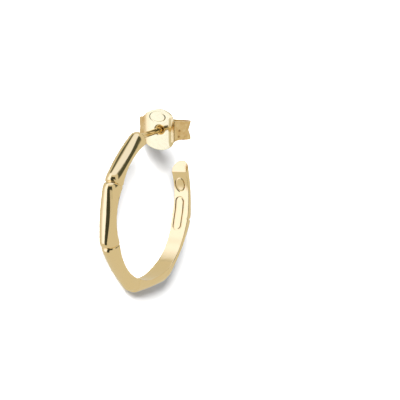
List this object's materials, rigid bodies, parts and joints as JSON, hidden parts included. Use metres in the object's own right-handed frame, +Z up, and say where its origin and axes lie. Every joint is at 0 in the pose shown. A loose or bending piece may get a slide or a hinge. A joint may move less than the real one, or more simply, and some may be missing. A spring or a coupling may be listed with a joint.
{
  "type": "bamboo hoop earring with butterfly back",
  "caption": "Gold open hoop of bamboo-shaped sections with a straight post and a sprung butterfly ear nut that slides on it; it lies on its side.",
  "frame": {"origin": "centre of the earring's box, on the surface that it lies on", "axes": "+Z up from the surface; +X towards the post's free end as seen from above; +Y across the hoop towards the post"},
  "size_m": [0.02, 0.0212, 0.0071],
  "materials": {
    "polished_gold": "polished yellow gold",
    "pressed_gold": "bright pressed gold sheet"
  },
  "bodies": {
    "earring": {"bamboo_hoop": "polished_gold"},
    "back": {"butterfly_back": "pressed_gold"}
  },
  "joints": [
    {"name": "back_slide", "type": "slide", "parent": "earring", "child": "back", "axis": [0.9973, 0, 0.0729], "range_m": [-0.0045, 0.0064]}
  ]
}
